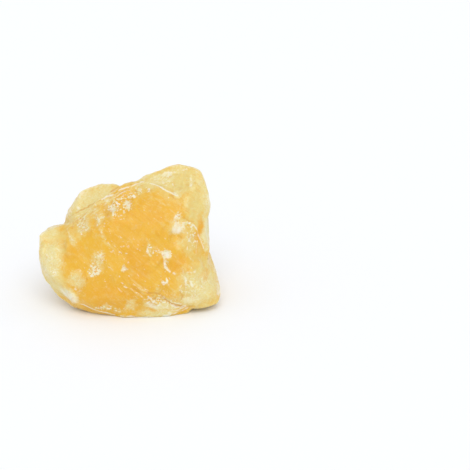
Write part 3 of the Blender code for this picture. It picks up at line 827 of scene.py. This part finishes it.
def way_through(tree, place, normal):
    """The mean way through the stone from a place on its skin, over a fan of inward looks."""
    side = normal.orthogonal().normalized()
    other = normal.cross(side)
    start = place - normal * LOOK_START
    total = 0.0
    for lean, turns in LOOK_RINGS:
        for turn in range(turns):
            round_by = 2 * math.pi * turn / turns
            sideways = side * math.cos(round_by) + other * math.sin(round_by)
            look = sideways * math.sin(lean) - normal * math.cos(lean)
            total += tree.ray_cast(start, look)[3] or 0.0
    return total / sum(turns for _, turns in LOOK_RINGS)


def depth_of_stone(solid, places):
    """How thick the stone is behind each place, in metres."""
    tree = BVHTree.FromPolygons(
        [vert.co for vert in solid.vertices], [face.vertices for face in solid.polygons]
    )
    known = np.array([way_through(tree, vert.co, vert.normal) for vert in solid.vertices])
    nearest = KDTree(len(known))
    for index, vert in enumerate(solid.vertices):
        nearest.insert(vert.co, index)
    nearest.balance()
    depth = np.empty(len(places))
    for index, place in enumerate(places):
        found = nearest.find_n(place, NEAR_CORNERS)
        weights = [1.0 / (distance + CORNER_BLUR) for _, _, distance in found]
        sum_known = sum(known[near] * weight for (_, near, _), weight in zip(found, weights))
        depth[index] = sum_known / sum(weights)
    return depth


def mark_strength(places, marks, softness):
    """How strongly a table of marks shows at each place."""
    shown = np.zeros(len(places))
    for centre, (across, upward), lean, strength in marks.values():
        offset = places - np.array(centre)
        turn = math.radians(lean)
        along = offset[:, 0] * math.cos(turn) - offset[:, 2] * math.sin(turn)
        over = offset[:, 0] * math.sin(turn) + offset[:, 2] * math.cos(turn)
        inward = MARK_DEPTH + max(across, upward)
        reach = np.sqrt((along / across) ** 2 + (over / upward) ** 2 + (offset[:, 1] / inward) ** 2)
        rise = np.clip((1.0 - reach) / softness + 0.5, 0.0, 1.0)
        shown = np.maximum(shown, strength * rise * rise * (3 - 2 * rise))
    return shown


def push(place, size):
    """A push that changes over a given size in millimetres, the same at every run."""
    at = Vector(place) / size
    return Vector([noise.noise(at + shift) for shift in PUSH_SHIFTS])


def pushed(places, wide, fine):
    """Places moved about by noise, to make the outlines of marks uneven; in millimetres."""
    return np.array([
        Vector(place) + push(place, WIDE_PUSH_SIZE) * wide + push(place, FINE_PUSH_SIZE) * fine
        for place in places
    ])


def line_strength(places, lines):
    """How strongly a table of lines shows at each place."""
    shown = np.zeros(len(places))
    for half_width, strength, points in lines.values():
        points = np.array(points)
        for start, end in zip(points[:-1], points[1:]):
            way = end - start
            share = np.clip((places - start) @ way / (way @ way), 0.0, 1.0)
            distance = np.linalg.norm(places - start - share[:, None] * way, axis=1)
            # Full within a third of the half width, and gone beyond five thirds of it.
            rise = np.clip(1.25 - 0.75 * distance / (half_width + LINE_BLUR), 0.0, 1.0)
            shown = np.maximum(shown, strength * rise)
    return shown


def hidden_clouds(places, facing, shift, level):
    """Marks of the same kind for the sides of the chunk that the tables don't reach."""
    # Nought where the skin faces the front, and one where it faces the ends and the back.
    away = np.clip((facing[:, 1] + 0.35) / 0.5, 0.0, 1.0)
    start = Vector(shift)
    tone = np.array([
        noise.fractal(Vector(place) / HIDDEN_CLOUD_SIZE + start, 1.0, 2.0, 3) for place in places
    ])
    return away * np.clip((tone - level) / 0.5, 0.0, 1.0)


def store(mesh, name, values):
    """Keeps a value per point of a mesh under a name."""
    made = mesh.attributes.new(name, "FLOAT", "POINT")
    made.data.foreach_set("value", values.astype(np.float32))


def mark_skin(mesh, solid):
    """Works out the stone's depth and marks at each place of its skin."""
    places = point_rows(mesh, "co")
    depth = spread_to_neighbours(depth_of_stone(solid, places), mesh, DEPTH_PASSES)
    store(mesh, "depth", depth / MM)
    in_mm = places / MM
    moved = {STILL: in_mm}
    for pushes in (WIDELY, NEARBY, SLIGHTLY):
        moved[pushes] = pushed(in_mm, *pushes)
    for name, (marks, pushes, softness) in AREA_MARKS.items():
        shown = mark_strength(moved[pushes], marks, softness)
        if name in HIDDEN_MARKS:
            strength, shift, level = HIDDEN_MARKS[name]
            hidden = hidden_clouds(in_mm, point_rows(mesh, "normal"), shift, level)
            shown = np.maximum(shown, strength * hidden)
        store(mesh, name, shown)
    for name, (lines, pushes) in LINE_MARKS.items():
        store(mesh, name, line_strength(moved[pushes], lines))


def mark_edges(mesh):
    """Finds the arrises: how far each place stands proud of the smoothed stone."""
    places = point_rows(mesh, "co")
    smooth = spread_to_neighbours(places, mesh, EDGE_PASSES)
    store(mesh, "edge", ((places - smooth) * point_rows(mesh, "normal")).sum(1) / MM)


def attribute(tree, name):
    """A value kept on the skin, for a material."""
    return Value(add_node(tree, "ShaderNodeAttribute", attribute_name=name).outputs["Fac"])


def tinted(tree, amount, low, high):
    """One colour turning into another."""
    inputs = {0: amount, 6: low, 7: high}
    return add_node(tree, "ShaderNodeMix", inputs, data_type="RGBA").outputs[2]


def with_alpha(colour):
    """A colour with its alpha."""
    return (*colour, 1.0)


def roughened(tree, value, place, size, height):
    """A value with noise added, to break up its edges."""
    return value + cloud(tree, place, size, 3.0) * height


def stone_patterns(tree):
    """The noises, and the values kept on the skin, that the stone's looks are made of."""
    coords = add_node(tree, "ShaderNodeTexCoord").outputs["Object"]
    place = scaled(tree, coords, 1.0 / MM)
    kept = ("depth", "edge", *AREA_MARKS, *LINE_MARKS)
    return SimpleNamespace(
        place=place,
        drift=cloud(tree, place, 5.0, 4.0),
        streaks=cloud(tree, squeezed(tree, place, STREAK_WAY, 0.88), 0.8, 3.0, roughness=0.6),
        strands=cloud(tree, squeezed(tree, place, RIDGE_WAY, 0.9), 0.6, 3.0, roughness=0.65),
        flecks=cloud(tree, squeezed(tree, place, STREAK_WAY, 0.45), 0.62, 2.0, (3, 0, 9)),
        mottle=cloud(tree, place, 1.8, 5.0, (11, 0, 0), 0.68),
        grit=cloud(tree, place, 0.42, 3.0, (0, 5, 0), 0.75),
        grain=cell_chance(tree, place, 0.42),
        **{name: attribute(tree, name) for name in kept},
    )


def glints(at):
    """The small flecks that catch the light, one where they are. The stone's colour paints them
    pale, as painted glints.
    """
    flecks = at.flecks + at.sparkle * 0.16 + at.drift * 0.38
    return flecks.eased(0.265, 0.355) * at.sparkle.eased(0.05, 0.4)


def loose_grains(tree, at):
    """The loose white grains of the bruises, one where they are."""
    broken = roughened(tree, at.bruise, at.place, 1.0, 2.0)
    return (broken * 0.72 - at.grain).eased(-0.06, 0.12) * at.bruise.eased(0.05, 0.3)


def stone_colour(tree, at, colours, lit, frosty):
    """The stone's colour, with each cloud and mark laid over the one before; painted light is among
    them: paler thin stone, shaded creases and pale glints.
    """
    amber, deep, lit_through_thin, milky, frost, shade_and_dark_grain = (
        with_alpha(getattr(colours, name))
        for name in ("amber", "deep", "thin", "milky", "frost", "crease")
    )
    depth = roughened(tree, at.depth, at.place, 3.5, 9.0)
    # Painted light: thin stone and the pale parts are painted paler for the light that shines
    # through them.
    thin = depth.eased(21.5, 13.0).larger((at.pale + at.mottle * 0.5).eased(0.12, 0.85))
    clear = roughened(tree, at.clear, at.place, 3.5, 0.8)
    misty = (at.veil + at.mottle + at.grit * 0.8).eased(0.0, 1.05) * at.veil.eased(0.0, 0.4)
    cloudiness = at.veil.larger(thin * 0.35) * 0.55 + 0.14
    crease = roughened(tree, at.crease, at.place, 0.9, 0.9)
    line = roughened(tree, at.line, at.place, 0.7, 1.0) + at.drift * 1.2
    white = (at.white + at.mottle * 1.2 + at.grit * 0.5).eased(0.05, 0.95)
    grain_tone = tinted(tree, cell_chance(tree, at.place, 0.7), milky, frost)
    layers = (
        (thin, lit_through_thin),
        (clear.eased(0.0, 0.8), deep),
        (at.streaks.eased(0.0, 0.22) * (at.fibre * 0.5 + 0.14), milky),
        (at.streaks.eased(-0.03, -0.2) * (at.fibre * 0.4 + 0.4), deep),
        (at.strands.eased(0.0, 0.2) * at.ridge_fibre * 0.95, milky),
        (at.strands.eased(-0.02, -0.2) * at.ridge_fibre * 0.9, shade_and_dark_grain),
        (at.mottle.eased(0.0, 0.3, 0.0, 0.4), milky),
        (at.mottle.eased(-0.04, -0.28, 0.0, 0.5), deep),
        (misty, milky),
        (at.grit.eased(0.02, 0.26) * cloudiness, frost),
        (at.grit.eased(-0.02, -0.28) * cloudiness, amber),
        # Painted shade in the creases.
        (crease.eased(0.1, 0.8) * 0.85, shade_and_dark_grain),
        (at.edge.eased(0.06, 0.24, 0.0, 0.45), milky),
        (line.eased(0.25, 0.9) * 0.75, frost),
        # Painted glints on the flecks that catch the light.
        (lit * 0.6, frost),
        (white * at.white.eased(0.02, 0.3) * 0.9, frost),
        (frosty * 0.9, grain_tone),
        (at.grain.eased(0.84, 0.9) * at.bruise.eased(0.15, 0.5) * 0.5, shade_and_dark_grain),
    )
    colour = amber
    for amount, laid_on in layers:
        colour = tinted(tree, amount, colour, laid_on)
    return colour


def fine_bump(tree, at, lit):
    """The directions that the skin faces, with roughness too fine for its squares."""
    heights = (
        (cloud(tree, at.place, 0.35, 2.0), 1.0),
        (at.streaks, 0.6),
        (at.streaks * at.fibre, 2.5),
        (at.strands * at.ridge_fibre, 3.5),
        (at.grit, 1.2),
        (at.grain * at.bruise, 1.4),
        (lit, 0.5),
    )
    height = sum(shape * factor for shape, factor in heights)
    inputs = {"Height": height, "Strength": 0.8, "Distance": BUMP_HEIGHT}
    return add_node(tree, "ShaderNodeBump", inputs).outputs[0]


def stone_material(colours):
    """Milky orange calcite, painted paler where it is thin for the light that shines through, and
    white where it is bruised.
    """
    made = bpy.data.materials.new("orange_calcite")
    made.use_nodes = True
    tree = made.node_tree
    shader = tree.nodes["Principled BSDF"]
    at = stone_patterns(tree)
    lit = glints(at)
    frosty = loose_grains(tree, at)
    roughness = frosty * 0.2 + at.drift * 0.3 - lit * 0.15 + 0.34
    tree.links.new(stone_colour(tree, at, colours, lit, frosty), shader.inputs["Base Color"])
    tree.links.new(roughness.socket, shader.inputs["Roughness"])
    tree.links.new(fine_bump(tree, at, lit), shader.inputs["Normal"])
    for name, given in SHADER_CONSTANTS.items():
        shader.inputs[name].default_value = given
    shader.inputs["Subsurface Scale"].default_value = colours.glow_depth
    return made


class CALCITE_OT_build_stone(Operator):
    """Builds the chunk: its fine skin, marks, relief and cloudy stone"""

    bl_idname = "calcite.build_stone"
    bl_label = "Build Stone"

    def execute(self, context):
        settings = context.scene.calcite_stone
        solid = merged_solid()
        skin = fine_skin(solid, settings)
        mark_skin(skin.data, solid)
        relief = skin.modifiers.new("relief", "NODES")
        relief.node_group = relief_tree()
        sizes = {name: getattr(settings, identifier) for name, identifier in RELIEF_SIZES.items()}
        material = stone_material(context.scene.calcite_colours)
        set_inputs(relief, {**sizes, "Seed": settings.seed, "Material": material})
        mesh = evaluated_copy(skin)
        skin.modifiers.clear()
        skin.data = mesh
        mark_edges(mesh)
        mesh.shade_smooth()
        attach(skin, "root")
        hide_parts(STONE_NODE)
        return {"FINISHED"}


def add_floor(settings):
    """The pale floor that the chunk stands on."""
    shape = bmesh.new()
    bmesh.ops.create_grid(shape, x_segments=1, y_segments=1, size=settings.floor_size / 2)
    floor = scene_object("floor", mesh_from("floor", shape))
    floor.location.z = -FLOOR_GAP
    paper = bpy.data.materials.new("white_paper")
    paper.use_nodes = True
    shader = paper.node_tree.nodes["Principled BSDF"]
    shader.inputs["Base Color"].default_value = with_alpha(settings.floor_colour)
    shader.inputs["Roughness"].default_value = 0.9
    shader.inputs["Specular IOR Level"].default_value = 0.1
    floor.data.materials.append(paper)


def aim(thing, target):
    """Turns a light or camera to face a point."""
    thing.rotation_euler = (target - thing.location).to_track_quat("-Z", "Y").to_euler()


def add_key_light(settings):
    """One broad soft light from the camera's side."""
    lamp = bpy.data.lights.new("key", "SUN")
    lamp.energy = settings.key_light
    lamp.angle = settings.key_breadth
    light = scene_object("key", lamp)
    level = math.cos(settings.key_elevation)
    light.location = Vector((
        -math.sin(settings.key_side) * level,
        -math.cos(settings.key_side) * level,
        math.sin(settings.key_elevation),
    ))
    aim(light, Vector((0, 0, 0)))


def add_camera(settings):
    """The camera, at the height and distance that the chunk is seen from."""
    lens = bpy.data.cameras.new("camera")
    lens.lens = settings.camera_lens
    lens.sensor_width = SENSOR_WIDTH
    camera = scene_object("camera", lens)
    target = Vector(settings.camera_target)
    elevation = settings.camera_elevation
    away = Vector((0, -math.cos(elevation), math.sin(elevation)))
    camera.location = target + away * settings.camera_distance
    aim(camera, target)
    bpy.context.scene.camera = camera


class CALCITE_OT_set_stage(Operator):
    """Sets the floor, the lights and the camera"""

    bl_idname = "calcite.set_stage"
    bl_label = "Set Stage"

    def execute(self, context):
        settings = context.scene.calcite_stage
        add_floor(settings)
        add_key_light(settings)
        world = bpy.data.worlds.new("white_tent")
        world.use_nodes = True
        tent = world.node_tree.nodes["Background"]
        tent.inputs["Color"].default_value = (1, 1, 1, 1)
        tent.inputs["Strength"].default_value = settings.tent_light
        context.scene.world = world
        context.scene.view_settings.view_transform = "Standard"
        add_camera(settings)
        return {"FINISHED"}


class CALCITE_PT_panel(Panel):
    """Lists the chunk's operators and settings"""

    bl_idname = "CALCITE_PT_panel"
    bl_label = "Orange Calcite"
    bl_space_type = "VIEW_3D"
    bl_region_type = "UI"
    bl_category = "Calcite"

    def draw(self, context):
        layout = self.layout
        for operator, groups in OPERATORS:
            box = layout.box()
            box.operator(operator)
            for name in groups:
                settings = getattr(context.scene, name)
                for size in settings.bl_rna.properties:
                    if size.identifier not in {"rna_type", "name"}:
                        box.prop(settings, size.identifier)


PROPERTY_GROUPS = (
    ("calcite_stone", CalciteStoneSettings),
    ("calcite_colours", CalciteColourSettings),
    ("calcite_stage", CalciteStageSettings),
)
# Each operator, and the groups of settings that it reads.
OPERATORS = (
    ("calcite.build_stone", ("calcite_stone", "calcite_colours")),
    ("calcite.set_stage", ("calcite_stage",)),
)
CLASSES = (
    *(group for _, group in PROPERTY_GROUPS),
    CALCITE_OT_build_stone,
    CALCITE_OT_set_stage,
    CALCITE_PT_panel,
)


def register():
    """Adds the classes and the scene's settings."""
    for made in CLASSES:
        bpy.utils.register_class(made)
    for name, group in PROPERTY_GROUPS:
        setattr(bpy.types.Scene, name, PointerProperty(type=group))


def unregister():
    """Takes the classes and the scene's settings away."""
    for name, _ in PROPERTY_GROUPS:
        delattr(bpy.types.Scene, name)
    for made in reversed(CLASSES):
        bpy.utils.unregister_class(made)


def main():
    """Registers the add-on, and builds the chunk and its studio."""
    register()
    bpy.ops.calcite.build_stone()
    bpy.ops.calcite.set_stage()


if __name__ == "__main__":
    main()
